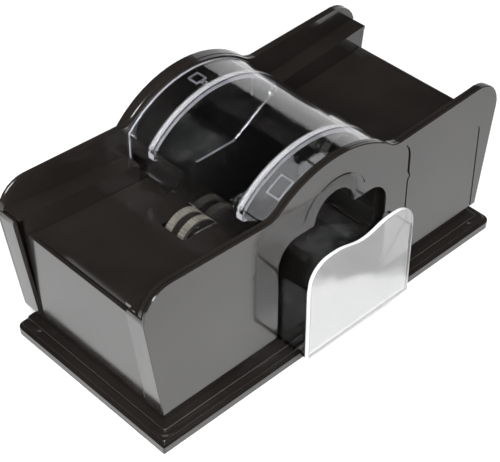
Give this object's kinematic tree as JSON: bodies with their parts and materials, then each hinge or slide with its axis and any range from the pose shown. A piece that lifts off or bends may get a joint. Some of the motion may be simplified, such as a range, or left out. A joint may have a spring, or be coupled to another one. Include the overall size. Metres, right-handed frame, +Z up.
{
  "type": "automatic card shuffler",
  "caption": "Battery card shuffler: end trays feed cards by rubber rollers under a clear arched cover into a pull-out clear drawer.",
  "frame": {"origin": "centre of the overall footprint, drawer included, at the level of the feet", "axes": "+X along the length from one card tray to the other, -Y towards the front where the drawer pulls out, +Z up"},
  "size_m": [0.2834, 0.1514, 0.1279],
  "materials": {
    "black_gloss_plastic": "high gloss moulded",
    "black_matte_plastic": "fine moulded texture",
    "clear_plastic": "clear polystyrene",
    "feed_rubber": "ribbed, warm grey",
    "foot_rubber": "matt",
    "steel": "turned",
    "contact_steel": "nickel plated strip",
    "motor_can": "drawn can",
    "brass": "machined",
    "acetal": "moulded acetal",
    "cell_jacket": "printed film, plain"
  },
  "bodies": {
    "housing": {"back_panel": "black_gloss_plastic", "base_plate": "black_gloss_plastic", "base_screw_1": "steel", "base_screw_2": "steel", "base_screw_3": "steel", "base_screw_4": "steel", "chassis": "black_gloss_plastic", "foot_1": "foot_rubber", "foot_2": "foot_rubber", "foot_3": "foot_rubber", "foot_4": "foot_rubber", "front_panel": "black_gloss_plastic", "left_bush_back": "brass", "left_bush_front": "brass", "left_cell_1": "cell_jacket", "left_cell_2": "cell_jacket", "left_cell_holder": "black_matte_plastic", "left_contact_link": "contact_steel", "left_contact_terminal": "contact_steel", "left_end_wall": "black_gloss_plastic", "left_idler_pin": "steel", "left_motor": "motor_can", "left_tray_floor": "black_gloss_plastic", "power_switch": "black_matte_plastic", "right_bush_back": "brass", "right_bush_front": "brass", "right_cell_1": "cell_jacket", "right_cell_2": "cell_jacket", "right_cell_holder": "black_matte_plastic", "right_contact_link": "contact_steel", "right_contact_terminal": "contact_steel", "right_end_wall": "black_gloss_plastic", "right_idler_pin": "steel", "right_motor": "motor_can", "right_tray_floor": "black_gloss_plastic"},
    "left_roller": {"left_roller_shaft": "steel", "left_roller_hub": "black_gloss_plastic", "left_tyre_front": "feed_rubber", "left_tyre_back": "feed_rubber", "left_roller_gear": "acetal"},
    "left_idler": {"left_idler_gear": "acetal"},
    "left_spindle": {"left_motor_spindle": "steel", "left_motor_pinion": "brass"},
    "right_roller": {"right_roller_shaft": "steel", "right_roller_hub": "black_gloss_plastic", "right_tyre_front": "feed_rubber", "right_tyre_back": "feed_rubber", "right_roller_gear": "acetal"},
    "right_idler": {"right_idler_gear": "acetal"},
    "right_spindle": {"right_motor_spindle": "steel", "right_motor_pinion": "brass"},
    "drawer": {"card_drawer": "clear_plastic"},
    "cover": {"clear_cover": "clear_plastic"},
    "left_door": {"left_battery_door": "black_matte_plastic"},
    "right_door": {"right_battery_door": "black_matte_plastic"},
    "button": {"power_button": "black_gloss_plastic"}
  },
  "joints": [
    {"name": "left_roller_spin", "type": "hinge", "parent": "housing", "child": "left_roller", "pos_m": [-0.0578, 0.0092, 0.0684], "axis": [0, 1, 0], "continuous": true},
    {"name": "left_idler_spin", "type": "hinge", "parent": "housing", "child": "left_idler", "pos_m": [-0.07316, 0.0652, 0.06124], "axis": [0, 1, 0], "continuous": true},
    {"name": "left_motor_spin", "type": "hinge", "parent": "housing", "child": "left_spindle", "pos_m": [-0.08288, 0.0652, 0.04735], "axis": [0, 1, 0], "continuous": true},
    {"name": "right_roller_spin", "type": "hinge", "parent": "housing", "child": "right_roller", "pos_m": [0.0578, 0.0092, 0.0684], "axis": [0, 1, 0], "continuous": true},
    {"name": "right_idler_spin", "type": "hinge", "parent": "housing", "child": "right_idler", "pos_m": [0.07316, 0.0652, 0.06124], "axis": [0, 1, 0], "continuous": true},
    {"name": "right_motor_spin", "type": "hinge", "parent": "housing", "child": "right_spindle", "pos_m": [0.08288, 0.0652, 0.04735], "axis": [0, 1, 0], "continuous": true},
    {"name": "drawer_slide", "type": "slide", "parent": "housing", "child": "drawer", "axis": [0, -1, 0], "range_m": [-0.02, 0.085]},
    {"name": "cover_lift", "type": "slide", "parent": "housing", "child": "cover", "axis": [0, 0, 1], "range_m": [0, 0.06]},
    {"name": "left_door_swing", "type": "hinge", "parent": "housing", "child": "left_door", "pos_m": [-0.063, -0.0066, 0.0044], "axis": [0, 1, 0], "range_deg": [-95, 0]},
    {"name": "right_door_swing", "type": "hinge", "parent": "housing", "child": "right_door", "pos_m": [0.063, -0.0066, 0.0044], "axis": [0, 1, 0], "range_deg": [0, 95]},
    {"name": "button_press", "type": "slide", "parent": "housing", "child": "button", "axis": [0, -1, 0], "range_m": [0, 0.002], "stiffness_N_per_m": 400, "springref_m": -0.001}
  ],
  "couplings": [
    {"joint": "left_idler_spin", "follows": "left_roller_spin", "ratio": -2.5},
    {"joint": "left_motor_spin", "follows": "left_roller_spin", "ratio": 6.25},
    {"joint": "right_idler_spin", "follows": "right_roller_spin", "ratio": -2.5},
    {"joint": "right_motor_spin", "follows": "right_roller_spin", "ratio": 6.25}
  ]
}
